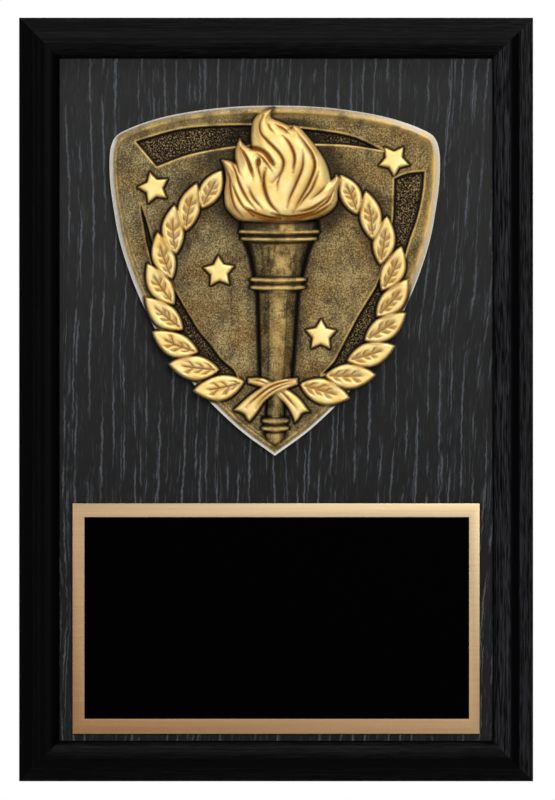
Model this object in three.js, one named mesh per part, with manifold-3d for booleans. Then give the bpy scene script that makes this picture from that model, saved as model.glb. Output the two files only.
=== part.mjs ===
// A presentation plaque for the wall: a veneered panel held in four mitred frame rails, a cast
// shield with a torch and a laurel wreath glued to it, and a blank engraving plate below.
// Millimetres. It is drawn face on: x to the right, y up and z out of the wall, with the wall at
// z = 0. The group at the end stands it up, so that the face looks along -Y and y becomes +Z.
import * as THREE from "three";
import { mergeVertices } from "three/addons/utils/BufferGeometryUtils.js";
import Module from "manifold-3d";

// Board and frame
const PLAQUE_WIDTH = 152.4;
const PLAQUE_HEIGHT = 226.4;
const PANEL_THICKNESS = 11;
const RAIL_WIDTH = 12; // outer edge to sight edge
const RAIL_LAP = 4; // how far the rail's lip covers the panel's edge
const PANEL_CLEARANCE = 0.2; // between the panel's edge and the rebate
const SIGHT_EDGE_HEIGHT = 0.8; // the lip's upright edge above the panel's face
const BEAD_HEIGHT = 3.9; // the rail's highest line above the panel's face
const BEAD_WIDTH = 5.4; // from the sight edge to the bead's back
const OUTER_BAND_WIDTH = 4;
const OUTER_BAND_HEIGHT = 2.1; // above the panel's face
const OUTER_EDGE_RADIUS = 0.9;

// Keyhole slot in the panel's back, for one round-headed screw
const KEYHOLE_DROP = 34; // plaque's top edge to the seat of the screw's shank
const KEYHOLE_TRAVEL = 13; // entry hole's centre to that seat
const SCREW_HEAD_PASSAGE = 9.6;
const SCREW_SHANK_PASSAGE = 5;
const KEYHOLE_LIP = 3.4; // wood that the screw's head hooks behind
const KEYHOLE_DEPTH = 8;

// Engraving plate
const PLATE_THICKNESS = 0.8;
const PLATE_SIDE_MARGIN = 3.8; // to the frame's sight edge
const PLATE_FOOT_MARGIN = 2;

// Cast shield
const CASTING_HEIGHT = 103.8;
const CASTING_TOP_GAP = 14.1; // to the frame's sight edge
const CASTING_TO_PLATE = 14.1;
const CASTING_SIDE_SHIFT = -0.4; // it is glued slightly left of the middle
const FIELD_HEIGHT = 2.6; // the shield's flat field above the panel
const RIM_RISE = 0.6;
const RIM_WIDTH = 2.6;
const FLANK_HEIGHT = 1.5; // upright part of the shield's edge
const RECESS_DEPTH = 1.1;
const STAR_RISE = 1.3;
const LEAF_RISE = 2.3;
const RIBBON_RISE = 3.4;
const STEM_RISE = 3.6;
const CUP_RISE = 4.9;
const FINIAL_RISE = 3;
const FLAME_RISE = 6;

const SIGHT_WIDTH = PLAQUE_WIDTH - 2 * RAIL_WIDTH;
const SIGHT_HEIGHT = PLAQUE_HEIGHT - 2 * RAIL_WIDTH;
const REBATE_FROM_EDGE = RAIL_WIDTH - RAIL_LAP;

const wasm = await Module();
wasm.setup();

// A three.js geometry as a closed solid that can be cut and joined.
function solidOf(geometry) {
  const bare = new THREE.BufferGeometry();
  const source = geometry.index ? geometry.toNonIndexed() : geometry;
  bare.setAttribute("position", source.getAttribute("position"));
  const merged = mergeVertices(bare, 1e-4);
  return new wasm.Manifold(
    new wasm.Mesh({
      numProp: 3,
      vertProperties: merged.getAttribute("position").array,
      triVerts: new Uint32Array(merged.index.array),
    }),
  );
}

function geometryOf(solid) {
  const mesh = solid.getMesh();
  const geometry = new THREE.BufferGeometry();
  geometry.setAttribute("position", new THREE.BufferAttribute(mesh.vertProperties, 3));
  geometry.setIndex(new THREE.BufferAttribute(mesh.triVerts, 1));
  geometry.computeVertexNormals();
  return geometry;
}

function indexedGeometry(positions, index) {
  const geometry = new THREE.BufferGeometry();
  geometry.setAttribute("position", new THREE.Float32BufferAttribute(positions, 3));
  geometry.setIndex(index);
  return geometry;
}

// A prism that stands on z = from and ends at z = to.
function prism(shape, from, to, curveSegments = 12) {
  const geometry = new THREE.ExtrudeGeometry(shape, {
    depth: to - from,
    bevelEnabled: false,
    curveSegments,
  });
  return geometry.translate(0, 0, from);
}

// Frame rails. The section is drawn in x, from the outer edge inwards, and y, the height above the
// wall. Its outer band steps up to a rounded bead, which falls steeply to the sight edge.
function railSection() {
  const face = PANEL_THICKNESS;
  const band = face + OUTER_BAND_HEIGHT;
  const bead = face + BEAD_HEIGHT;
  const beadBack = RAIL_WIDTH - BEAD_WIDTH;
  const section = new THREE.Shape();
  section.moveTo(0, 0);
  section.lineTo(REBATE_FROM_EDGE, 0);
  section.lineTo(REBATE_FROM_EDGE, face);
  section.lineTo(RAIL_WIDTH, face);
  section.lineTo(RAIL_WIDTH, face + SIGHT_EDGE_HEIGHT);
  section.bezierCurveTo(
    RAIL_WIDTH - 0.1 * BEAD_WIDTH,
    face + 0.75 * BEAD_HEIGHT,
    RAIL_WIDTH - 0.35 * BEAD_WIDTH,
    bead,
    RAIL_WIDTH - 0.65 * BEAD_WIDTH,
    bead,
  );
  section.quadraticCurveTo(beadBack + 0.1 * BEAD_WIDTH, bead, beadBack, bead - 0.12 * BEAD_HEIGHT);
  section.quadraticCurveTo(OUTER_BAND_WIDTH, band + 0.2 * (bead - band), OUTER_BAND_WIDTH, band);
  section.lineTo(OUTER_EDGE_RADIUS, band);
  section.absarc(
    OUTER_EDGE_RADIUS,
    band - OUTER_EDGE_RADIUS,
    OUTER_EDGE_RADIUS,
    Math.PI / 2,
    Math.PI,
    false,
  );
  section.lineTo(0, 0);
  return section;
}

// A rail along x with its outer edge at y = 0, cut at 45 degrees at both ends.
function railGeometry(length) {
  const geometry = new THREE.ExtrudeGeometry(railSection(), {
    depth: 1,
    bevelEnabled: false,
    curveSegments: 6,
  });
  const places = geometry.getAttribute("position");
  for (let i = 0; i < places.count; i++) {
    const inwards = places.getX(i);
    const height = places.getY(i);
    const side = places.getZ(i) < 0.5 ? 1 : -1;
    places.setXYZ(i, side * (length / 2 - inwards), -inwards, height);
  }
  geometry.computeVertexNormals();
  return geometry;
}

// Panel with its keyhole slot: an entry hole for the screw's head, a narrow neck above it for the
// shank, and behind the neck a wider way that the head slides up.
function slotShape(width, low, high) {
  const shape = new THREE.Shape();
  shape.absarc(0, high, width / 2, 0, Math.PI, false);
  shape.absarc(0, low, width / 2, Math.PI, 2 * Math.PI, false);
  return shape;
}

function panelGeometry() {
  const width = PLAQUE_WIDTH - 2 * (REBATE_FROM_EDGE + PANEL_CLEARANCE);
  const height = PLAQUE_HEIGHT - 2 * (REBATE_FROM_EDGE + PANEL_CLEARANCE);
  const board = new THREE.BoxGeometry(width, height, PANEL_THICKNESS);
  board.translate(0, 0, PANEL_THICKNESS / 2);
  const seat = PLAQUE_HEIGHT / 2 - KEYHOLE_DROP;
  const entry = seat - KEYHOLE_TRAVEL;
  const below = -1; // the cutters start clear of the back
  const hole = new THREE.Shape().absarc(0, entry, SCREW_HEAD_PASSAGE / 2, 0, 2 * Math.PI, false);
  const neck = slotShape(SCREW_SHANK_PASSAGE, entry, seat);
  const headWay = slotShape(SCREW_HEAD_PASSAGE, entry, seat);
  return geometryOf(
    solidOf(board)
      .subtract(solidOf(prism(hole, below, KEYHOLE_DEPTH)))
      .subtract(solidOf(prism(neck, below, KEYHOLE_DEPTH)))
      .subtract(solidOf(prism(headWay, KEYHOLE_LIP, KEYHOLE_DEPTH))),
  );
}

// The plate fills the panel's foot, up to the gap below the casting.
const PLATE_WIDTH = SIGHT_WIDTH - 2 * PLATE_SIDE_MARGIN;
const PLATE_HEIGHT =
  SIGHT_HEIGHT - CASTING_TOP_GAP - CASTING_HEIGHT - CASTING_TO_PLATE - PLATE_FOOT_MARGIN;

// The casting's carving keeps its proportions: places and widths are in percent of its height,
// measured from the middle of the shield's outline. Heights are the named rises above.
const PERCENT = CASTING_HEIGHT / 100;
const at = (x, y) => new THREE.Vector2(x * PERCENT, y * PERCENT);
const spline = (points) => new THREE.SplineCurve(points.map(([x, y]) => at(x, y)));

// Right half of the shield, from the middle of its top edge to its foot.
const SHIELD_HALF = [
  [0, 50],
  [16, 49.2],
  [30, 47],
  [39, 44.3],
  [44.6, 41.4],
  [46.7, 38],
  [47.2, 32],
  [46.6, 23],
  [44, 10.5],
  [39.5, -1.5],
  [34, -12.5],
  [28, -22],
  [20, -31.6],
  [10, -40.8],
  [0, -50],
];

function shieldOutline() {
  const half = spline(SHIELD_HALF).getPoints(36);
  const mirrored = half.slice(1, -1).reverse();
  return [...half, ...mirrored.map((p) => new THREE.Vector2(-p.x, p.y))].reverse();
}

// The outline moved inwards by a distance, corner by corner.
function inset(outline, distance) {
  return outline.map((corner, i) => {
    const before = outline[(i + outline.length - 1) % outline.length];
    const after = outline[(i + 1) % outline.length];
    const a = corner.clone().sub(before).normalize();
    const b = after.clone().sub(corner).normalize();
    const inwards = new THREE.Vector2(-a.y - b.y, a.x + b.x).normalize();
    const share = Math.sqrt((1 + a.dot(b)) / 2); // cosine of half the corner's turn
    return corner.clone().addScaledVector(inwards, distance / share);
  });
}

// Outlines stacked at rising heights, skinned and closed at both ends.
function stack(levels) {
  const count = levels[0].outline.length;
  const positions = levels.flatMap(({ outline, z }) => outline.flatMap((p) => [p.x, p.y, z]));
  const index = [];
  for (let level = 0; level < levels.length - 1; level++) {
    for (let i = 0; i < count; i++) {
      const [a, b] = [level * count + i, level * count + ((i + 1) % count)];
      index.push(a, b, b + count, a, b + count, a + count);
    }
  }
  const last = (levels.length - 1) * count;
  for (const [a, b, c] of THREE.ShapeUtils.triangulateShape(levels[0].outline, [])) {
    index.push(a, c, b);
  }
  for (const [a, b, c] of THREE.ShapeUtils.triangulateShape(levels.at(-1).outline, [])) {
    index.push(last + a, last + b, last + c);
  }
  return indexedGeometry(positions, index);
}

// The shield itself: an upright flank, a bevel up to the rim's crest, and a step down to the field.
function shieldBody() {
  const outline = shieldOutline();
  const crest = FIELD_HEIGHT + RIM_RISE;
  const level = (z, distance) => ({ z, outline: inset(outline, distance) });
  return stack([
    level(0, 0),
    level(FLANK_HEIGHT, 0),
    level(crest, 0.45 * RIM_WIDTH),
    level(crest, 0.65 * RIM_WIDTH),
    level(FIELD_HEIGHT, RIM_WIDTH),
  ]);
}

// Sunk bands that sweep round the shield, each between an outer and an inner edge.
const BANDS = [
  {
    outer: [[-39.7, 39.4], [-31, 42.3], [-18, 44.2], [-4, 44.5], [10, 43.4], [22, 41.2], [31, 37.6]],
    inner: [[31, 37], [21, 38.6], [9, 39.3], [-6, 38.9], [-20, 36.9], [-33.7, 32.6]],
  },
  {
    outer: [[34.4, 28.9], [38.4, 30.5], [42.3, 31.2]],
    inner: [
      [42.3, 31.2], [41.4, 23], [38, 10.5], [33.6, -1.5], [27.5, -12.5], [17.4, -23.8],
      [24.6, -11.2], [29.6, 0], [32.6, 13], [33.9, 22], [34.4, 28.9],
    ],
  },
  {
    outer: [[-38.4, 22], [-37.6, 12], [-34.4, -1.5], [-28.3, -13], [-13.4, -25.2]],
    inner: [[-13.4, -25.2], [-20, -17], [-27.9, -6.2], [-33, 3.5], [-36.2, 13.5], [-38.4, 22]],
  },
];

function bandCutter({ outer, inner }) {
  const there = spline(outer).getPoints(3 * (outer.length - 1));
  const back = spline(inner).getPoints(3 * (inner.length - 1));
  const outline = [...there, ...back.slice(1, -1)];
  const shape = new THREE.Shape(
    THREE.ShapeUtils.isClockWise(outline) ? outline.reverse() : outline,
  );
  const above = FIELD_HEIGHT + RIM_RISE + 1; // the cutter ends clear of the field
  return prism(shape, FIELD_HEIGHT - RECESS_DEPTH, above);
}

// Stars: x, y of the centre and how far the first point leans from upright, clockwise.
const STAR_RADIUS = 4.9;
const STAR_WAIST = 2.5; // to the notches between the points
const STARS = [
  { x: -34.4, y: 26.6, lean: -15 },
  { x: 34, y: 34.3, lean: 35 },
  { x: -15.9, y: 2.7, lean: -3 },
  { x: 13.2, y: -15.4, lean: 1 },
];

function star({ x, y, lean }) {
  const outline = [];
  for (let i = 0; i < 10; i++) {
    const angle = THREE.MathUtils.degToRad(lean + 36 * i);
    const radius = i % 2 ? STAR_WAIST : STAR_RADIUS;
    outline.push(at(x + radius * Math.sin(angle), y + radius * Math.cos(angle)));
  }
  outline.reverse(); // anticlockwise
  const top = FIELD_HEIGHT + STAR_RISE;
  return stack([
    { z: 0, outline },
    { z: top - 0.25 * STAR_RISE, outline },
    { z: top, outline: inset(outline, 0.25 * STAR_RISE) },
  ]);
}

// A relief body: rows of top points [x, y, z], left to right, closed by walls straight down to the
// casting's flat back.
function mound(rows) {
  const across = rows[0].length;
  const positions = [];
  rows.forEach((row) => row.forEach(([x, y, z]) => positions.push(x, y, z)));
  rows.forEach((row) => row.forEach(([x, y]) => positions.push(x, y, 0)));
  const top = (i, j) => i * across + j;
  const back = (i, j) => rows.length * across + top(i, j);
  const index = [];
  const quad = (a, b, c, d) => index.push(a, b, c, a, c, d);
  const last = rows.length - 1;
  const right = across - 1;
  for (let i = 0; i < last; i++) {
    for (let j = 0; j < right; j++) {
      quad(top(i, j), top(i, j + 1), top(i + 1, j + 1), top(i + 1, j));
      quad(back(i, j), back(i + 1, j), back(i + 1, j + 1), back(i, j + 1));
    }
    quad(back(i + 1, 0), back(i, 0), top(i, 0), top(i + 1, 0));
    quad(back(i, right), back(i + 1, right), top(i + 1, right), top(i, right));
  }
  for (let j = 0; j < right; j++) {
    quad(back(0, j), back(0, j + 1), top(0, j + 1), top(0, j));
    quad(back(last, j + 1), back(last, j), top(last, j), top(last, j + 1));
  }
  return indexedGeometry(positions, index);
}

// A mound along a curve. At share t of its length and v from -1 at its left edge to 1 at its right,
// its half width is halfWidth(t), its height z(t, v), and a point is moved on by lead(t, v).
function moundAlong(curve, steps, columns, halfWidth, z, lead = () => 0) {
  const rows = [];
  for (let i = 0; i <= steps; i++) {
    const t = i / steps;
    const centre = curve.getPoint(t);
    const ahead = curve.getTangent(t);
    const point = (v) => {
      const aside = v * halfWidth(t);
      const on = lead(t, v);
      return [
        centre.x + ahead.y * aside + ahead.x * on,
        centre.y - ahead.x * aside + ahead.y * on,
        z(t, v),
      ];
    };
    rows.push(columns.map(point));
  }
  return mound(rows);
}

// A turned form in relief: stations [y, radius] from the foot up, flattened so that a radius of
// widest stands rise above the field. The crown is its height across, 1 in the middle.
const roundCrown = (v) => Math.sqrt(1 - v * v);

function turnedMound(axisAt, stations, rise, widest, columns, crown = roundCrown) {
  const rows = stations.map(([y, radius]) =>
    columns.map((v) => {
      const place = at(axisAt(y) + radius * v, y);
      return [place.x, place.y, FIELD_HEIGHT + (rise * radius * crown(v)) / widest];
    }),
  );
  return mound(rows);
}

const roundColumns = (count) =>
  Array.from({ length: count + 1 }, (_, i) => Math.sin(Math.PI * (i / count - 0.5)));

// Torch: an eight-sided stem, a flared cup between two pairs of rings, and a finial with a ball.
// Its axis leans a little, so it crosses the middle near the foot.
const torchAxis = (y) => 0.9 + 0.022 * y;
const OCTAGON = Math.tan(Math.PI / 8); // half a side, where the half width is 1

function torchStem() {
  const stations = [
    [-39, 2.8],
    [-31, 2.3],
    [-30.2, 4.7],
    [-15, 5.4],
    [-2, 6.1],
  ];
  const facets = (v) => 0.25 + 0.75 * Math.min(1, (1 - Math.abs(v)) / (1 - OCTAGON));
  return turnedMound(torchAxis, stations, STEM_RISE, 6.1, [-1, -OCTAGON, OCTAGON, 1], facets);
}

// A ring's stations: its body, with two thin fillets and the hollow between them.
function ringStations(low, high, radius, hollow) {
  const fillet = (high - low) / 3.5;
  return [
    [low, radius],
    [low + fillet, radius],
    [low + 1.1 * fillet, hollow],
    [high - 1.1 * fillet, hollow],
    [high - fillet, radius],
    [high, radius],
  ];
}

function torchCup() {
  const stations = [
    ...ringStations(-2.8, 0.8, 8, 7.4),
    [0.9, 7.2],
    [4, 7.5],
    [7.5, 8.4],
    [10.8, 9.6],
    ...ringStations(11, 14.4, 11.6, 10.9),
    [14.5, 10.8],
    [17.5, 11.3],
  ];
  return turnedMound(torchAxis, stations, CUP_RISE, 11.6, roundColumns(10));
}

function torchFinial() {
  const rings = ringStations(-43, -39.3, 4.1, 3.5);
  const ball = [[-46.2, 0.7], [-45.7, 1.9], [-44.6, 2.6], [-43.4, 2.5]];
  return turnedMound(torchAxis, [...ball, ...rings], FINIAL_RISE, 4.1, roundColumns(8));
}

// Wreath: two rows of laurel leaves that climb a circle from the ribbon to the flame. Angles are
// from straight down. Each leaf lies along the circle, its tip turned outwards.
const WREATH = { x: 0.5, y: -1.6, radius: 33 };
const LEAVES_A_SIDE = 9;
const LEAF_LENGTH = 14.2;
const LEAF_WIDTH = 7;
const LEAF_LEAN = 40; // degrees outwards from the circle, at the foot
const LEAF_LEAN_LOSS = 1.5; // less at each leaf further up
const LEAF_ROWS = [
  { side: -1, first: 30, step: 14.5, bow: 2.7 },
  { side: 1, first: 24.5, step: 14.65, bow: 0.8 },
];

function leaf({ side, first, step, bow }, place) {
  const angle = first + step * place + bow * Math.sin((Math.PI * place) / (LEAVES_A_SIDE - 1));
  const turn = THREE.MathUtils.degToRad(angle);
  const heading = turn - THREE.MathUtils.degToRad(LEAF_LEAN - LEAF_LEAN_LOSS * place);
  const reach = LEAF_LENGTH / 2;
  const along = at(side * reach * Math.cos(heading), reach * Math.sin(heading));
  const centre = at(
    WREATH.x + side * WREATH.radius * Math.sin(turn),
    WREATH.y - WREATH.radius * Math.cos(turn),
  );
  const midrib = new THREE.LineCurve(centre.clone().sub(along), centre.clone().add(along));
  const swell = (t) => Math.max(0.03, Math.sin(Math.PI * t ** 0.88) ** 0.8);
  const half = (t) => (PERCENT * LEAF_WIDTH * swell(t)) / 2;
  const z = (t, v) => {
    const edge = 0.5 + 0.15 * t;
    const dome = 0.35 * Math.sin(Math.PI * t) ** 0.5;
    const groove = v === 0 ? 0.14 : 0;
    return FIELD_HEIGHT + LEAF_RISE * (edge + dome * (1 - v * v) - groove);
  };
  return moundAlong(midrib, 7, [-1, -0.6, -0.2, 0, 0.2, 0.6, 1], half, z);
}

function wreath() {
  const leaves = [];
  for (const row of LEAF_ROWS) {
    for (let place = 0; place < LEAVES_A_SIDE; place++) leaves.push(leaf(row, place));
  }
  return leaves;
}

// Ribbon: two tails that cross over the stem. Each is a band along a curve with a notched end.
const TAILS = [
  { path: [[-8.6, -28], [-3, -29], [1.5, -32.5], [5, -36], [8, -39.6]], from: 1.2, to: 2.6, rise: 0.75 },
  { path: [[7.5, -28.6], [2, -29.2], [-3, -31.5], [-7, -34.8], [-10, -38.6]], from: 1.4, to: 2.9, rise: 1 },
];

function ribbonTail({ path, from, to, rise }) {
  const half = (t) => PERCENT * (from + (to - from) * t);
  const z = (t, v) => FIELD_HEIGHT + RIBBON_RISE * rise * (0.8 + 0.2 * (1 - v * v));
  const lead = (t, v) => PERCENT * 1.6 * t ** 3 * (Math.abs(v) - 1);
  return moundAlong(spline(path), 8, [-1, -0.5, 0, 0.5, 1], half, z, lead);
}

// Flame: tongues that rise from the cup's mouth and lap over each other, from back to front.
// A tongue swells from its root to its widest part and runs out to a point at the tip.
const TONGUES = [
  { path: [[-1, 17.8], [-8, 18.8], [-12.6, 22], [-14, 27]], width: 4.4, rise: 0.6 },
  { path: [[4, 17.8], [11, 18.6], [15.4, 21.4], [17, 26]], width: 4.4, rise: 0.6 },
  { path: [[-1, 18.5], [-10.6, 22.5], [-12.4, 30], [-15.2, 34.8]], width: 5.4, rise: 0.66 },
  { path: [[4, 18], [13.8, 21.4], [15.6, 26.4], [17.4, 30.6]], width: 4.8, rise: 0.66 },
  { path: [[-0.5, 18], [-7.6, 22.5], [-9.4, 31], [-9.9, 41]], width: 6, rise: 0.76 },
  { path: [[4, 18.5], [11.8, 23], [13.4, 30], [11.4, 37], [6, 43.6]], width: 6.4, rise: 0.78 },
  { path: [[4, 18], [8.4, 24], [9.6, 32], [6.4, 39], [4.2, 44.6]], width: 6.6, rise: 0.84 },
  { path: [[0, 18], [-4.4, 23], [-5.6, 29.5], [-5, 34], [-6.8, 38.6]], width: 5.6, rise: 0.86 },
  { path: [[3, 18], [5.6, 25], [6.2, 32], [2.6, 38.5], [-0.8, 43.5], [-1, 47]], width: 6.6, rise: 0.92 },
  { path: [[1, 18], [1.6, 25], [1.8, 31], [-4.3, 42], [-3.4, 46.6], [0, 49.3]], width: 6.8, rise: 1 },
];

function tongue({ path, width, rise }) {
  const swell = (t) => 0.03 + 0.97 * Math.sin(Math.PI * (0.14 + 0.86 * t)) ** 0.8;
  const half = (t) => (PERCENT * width * swell(t)) / 2;
  const fall = (t) => FLAME_RISE * rise * (1 - 0.35 * t * t);
  const z = (t, v) => FIELD_HEIGHT + fall(t) * (0.6 + 0.4 * Math.sqrt(1 - v * v));
  return moundAlong(spline(path), 10, [-1, -0.8, -0.35, 0.35, 0.8, 1], half, z);
}

// The swollen foot that all the tongues grow from.
function flameFoot() {
  const stations = [
    [16.9, 10.2],
    [18, 12.6],
    [20, 14.6],
    [23, 14.8],
    [27, 12.5],
    [32, 9],
    [36, 6],
  ];
  return turnedMound(() => 1, stations, 0.84 * FLAME_RISE, 14.8, roundColumns(8));
}

function castingGeometry() {
  const field = BANDS.reduce(
    (solid, band) => solid.subtract(solidOf(bandCutter(band))),
    solidOf(shieldBody()),
  );
  const raised = [
    ...STARS.map(star),
    torchStem(),
    torchCup(),
    torchFinial(),
    ...wreath(),
    ...TAILS.map(ribbonTail),
    flameFoot(),
    ...TONGUES.map(tongue),
  ];
  return geometryOf(raised.reduce((solid, body) => solid.add(solidOf(body)), field));
}

// Materials
const blackAsh = new THREE.MeshStandardMaterial({ color: "#2b2c2e", roughness: 0.55 });
const blackRail = new THREE.MeshStandardMaterial({ color: "#121214", roughness: 0.45 });
const bronzeResin = new THREE.MeshStandardMaterial({ color: "#a08c57", roughness: 0.45, metalness: 0.6 });
const goldPlate = new THREE.MeshStandardMaterial({ color: "#d2a86c", roughness: 0.35, metalness: 0.9 });

const plaque = new THREE.Group();
plaque.rotation.x = Math.PI / 2;

function place(name, geometry, material, x, y, z, turn = 0) {
  const mesh = new THREE.Mesh(geometry, material);
  mesh.name = name;
  mesh.position.set(x, y, z);
  mesh.rotation.z = turn;
  plaque.add(mesh);
}

const QUARTER = Math.PI / 2;
place("panel", panelGeometry(), blackAsh, 0, 0, 0);
place("rail_top", railGeometry(PLAQUE_WIDTH), blackRail, 0, PLAQUE_HEIGHT / 2, 0);
place("rail_left", railGeometry(PLAQUE_HEIGHT), blackRail, -PLAQUE_WIDTH / 2, 0, 0, QUARTER);
place("rail_bottom", railGeometry(PLAQUE_WIDTH), blackRail, 0, -PLAQUE_HEIGHT / 2, 0, 2 * QUARTER);
place("rail_right", railGeometry(PLAQUE_HEIGHT), blackRail, PLAQUE_WIDTH / 2, 0, 0, -QUARTER);
place(
  "engraving_plate",
  new THREE.BoxGeometry(PLATE_WIDTH, PLATE_HEIGHT, PLATE_THICKNESS),
  goldPlate,
  0,
  -SIGHT_HEIGHT / 2 + PLATE_FOOT_MARGIN + PLATE_HEIGHT / 2,
  PANEL_THICKNESS + PLATE_THICKNESS / 2,
);
place(
  "shield_casting",
  castingGeometry(),
  bronzeResin,
  CASTING_SIDE_SHIFT,
  SIGHT_HEIGHT / 2 - CASTING_TOP_GAP - CASTING_HEIGHT / 2,
  PANEL_THICKNESS,
);

export default plaque;
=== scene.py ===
"""A framed wall plaque with a cast shield and a blank engraving plate, dressed for a photograph.

Lengths are metres, +Z is up and the face looks along -Y. Sizes in mm are named with MM or _MM.
"""

import math
from functools import partial

import bmesh
import bpy
import numpy as np
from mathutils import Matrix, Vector


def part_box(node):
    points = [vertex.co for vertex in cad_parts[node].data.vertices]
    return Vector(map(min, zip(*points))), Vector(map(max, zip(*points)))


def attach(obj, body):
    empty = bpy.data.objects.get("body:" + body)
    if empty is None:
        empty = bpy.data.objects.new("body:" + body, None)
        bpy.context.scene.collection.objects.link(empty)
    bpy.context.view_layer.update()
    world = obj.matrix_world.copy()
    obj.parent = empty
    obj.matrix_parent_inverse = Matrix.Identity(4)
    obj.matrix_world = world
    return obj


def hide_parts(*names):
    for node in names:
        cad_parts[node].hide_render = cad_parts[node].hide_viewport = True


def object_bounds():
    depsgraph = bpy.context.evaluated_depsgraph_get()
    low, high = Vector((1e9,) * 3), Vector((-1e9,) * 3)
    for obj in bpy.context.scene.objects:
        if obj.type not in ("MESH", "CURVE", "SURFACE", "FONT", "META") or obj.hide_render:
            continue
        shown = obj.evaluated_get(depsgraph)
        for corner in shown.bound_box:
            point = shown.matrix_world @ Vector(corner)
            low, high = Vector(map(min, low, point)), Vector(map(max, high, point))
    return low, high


MM = 0.001

# The photograph in pixels with the board's place in it, and the camera in metres and mm
IMAGE_WIDTH = 555
IMAGE_HEIGHT = 800
BOARD_CENTRE_PX = (276.1, 399.5)
BOARD_WIDTH_PX = 515.5
CAMERA_DISTANCE = 2.6
SENSOR_MM = 24

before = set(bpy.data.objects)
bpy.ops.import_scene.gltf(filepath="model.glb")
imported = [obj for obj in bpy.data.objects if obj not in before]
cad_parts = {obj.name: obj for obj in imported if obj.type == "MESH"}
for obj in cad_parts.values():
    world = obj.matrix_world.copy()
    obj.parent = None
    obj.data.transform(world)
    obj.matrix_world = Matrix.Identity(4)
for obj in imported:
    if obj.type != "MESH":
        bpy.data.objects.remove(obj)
cad_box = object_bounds()
scene = bpy.context.scene
panel_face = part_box("panel")[0].y

# Sizes of the frame, plate and panel that the solids do not give
RAIL_WIDTH_MM = 12.0
OUTER_BAND_MM = 3.9
FACET_MM = 2.6
SIGHT_EDGE_MM = 0.8
BAND_RISE_MM = 2.1
BEAD_RISE_MM = 3.9
FACET_BELOW_BEAD_MM = 0.2
BEAD_SETBACK_MM = 0.7
OUTER_EDGE_RADIUS_MM = 1.1
RAIL_LAP_MM = 4.0
PLATE_EASE_MM = 0.18
RING_SPACING_MM = 3.7  # between the growth rings of the veneer
PLATE_FIELD_IN_MM = (3.55, 4.5)  # the field's lower left corner, in from the plate's
PLATE_FIELD_BACK_MM = (3.15, 4.05)  # the field's upper right corner, back from the plate's

# Heights of the casting above the panel
FIELD_MM = 2.6
FLANK_MM = 1.5
CREST_MM = 3.3
SUNK_MM = 1.15
STAR_MM = 1.35
LEAF_MM = 2.2
FLAME_MM = 5.6
RIBBON_MM = 3.2
RIBBON_BACK_SHARE = 0.75  # height of the tail behind, as a share of the other's
STEM_MM = 3.2
CUP_MM = 4.7
FINIAL_MM = 2.6

# Depths of the finer work on it
GRIT_MM = 0.08
VEIN_CUT_MM = 0.33
VEIN_SIDE_MM = 0.14
LEAF_FALL_MM = 0.3
GROOVE_CUT_MM = 0.4
GROOVE_SIDE_MM = 0.34
GROOVE_LIP_MM = 0.14

# Its mesh is coarser where straight lines stray less than this from its height and its masks.
PLAIN_HEIGHT_MM = 0.03
PLAIN_MASK = 0.085

# The casting is drawn in pixels of the photograph, x to the right and y down.
SHIELD_MIDDLE = 275
SHIELD_TOP = 105
SHIELD_FOOT = 455
GRID_REACH = 170  # from the shield's middle to the sides of the grid
GRID_MARGIN = 4  # above and below the shield
GRIT_SEED = 11
LEAF_SEED = 5
CELL = 0.78  # grid spacing
RIM_CREST_IN = 6  # from the edge to the rim's crest
RIM_FOOT_IN = 10  # from the edge to the rim's foot on the field
SHIELD_HALF = [
    (0, 105), (28, 105.5), (56, 107.5), (85, 111.3), (110, 116.2), (130, 122), (147, 128.6),
    (158, 135), (163, 144), (165, 157), (164.6, 180), (161.5, 205), (155.5, 238), (145, 272),
    (131, 306), (113, 340), (93, 369), (66, 400), (34, 430), (0, 455),
]
SUNK_BANDS = [  # how bright the rubbed edge is, then the outline
    (0.95, [
        [(136, 141), (150, 136.5), (180, 128.5), (215, 125.2), (260, 124.8), (302, 128), (350, 135),
         (384, 150)],
        [(384, 150), (350, 144.8), (315, 143.2), (270, 143.2), (232, 146), (190, 154), (157, 166)],
        [(157, 166), (136, 141)],
    ]),
    (0.75, [
        [(394.4, 178), (402, 174.5), (411, 172), (424.5, 170.8)],
        [(424.5, 170.8), (423, 190), (418, 215), (408, 245), (396, 285), (380, 325), (352, 359), (322, 374)],
        [(322, 374), (334, 361), (341, 348), (350, 331), (358, 316), (367, 301), (378, 282), (388, 250)],
        [(388, 250), (393, 220), (394.4, 178)],
    ]),
    (0.4, [
        [(141, 203), (141.6, 213), (143.8, 225), (147.5, 245), (155, 272), (168, 316), (186, 350),
         (212, 376), (238, 378)],
        [(238, 378), (234, 369), (222.5, 359), (211, 344), (200, 331), (190, 315), (176, 291),
         (163, 266), (152, 240)],
        [(152, 240), (148, 224), (141, 203)],
    ]),
]
STAR_POINT = 16
STAR_WAIST = 8.8
STARS = [(154.4, 187.4, -15), (394.2, 159.8, 35.4), (219.4, 271.2, -3), (321.1, 334.6, 1)]

WREATH_CENTRE = (277, 285)
WREATH_RADIUS = 116
LEAVES_A_SIDE = 9
LEAF_LENGTH = 52.4
LEAF_SHRINK = 0.7  # each leaf is shorter than the last by this, up to the fifth
LAST_LEAF_LOSS = 6
LEAF_WIDTH = 25.6
LEAF_SLIMMING = 0.018  # share of its width that each leaf loses
VEIN_PLACES = (0.16, 0.33, 0.49)
LEAF_LEAN = 40
LEAF_LEAN_LOSS = 1.5
LEAF_ROWS = [(-1, 30, 14.5, 2.7), (1, 24.5, 14.65, 0.8)]  # side, first angle, step, bow

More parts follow.
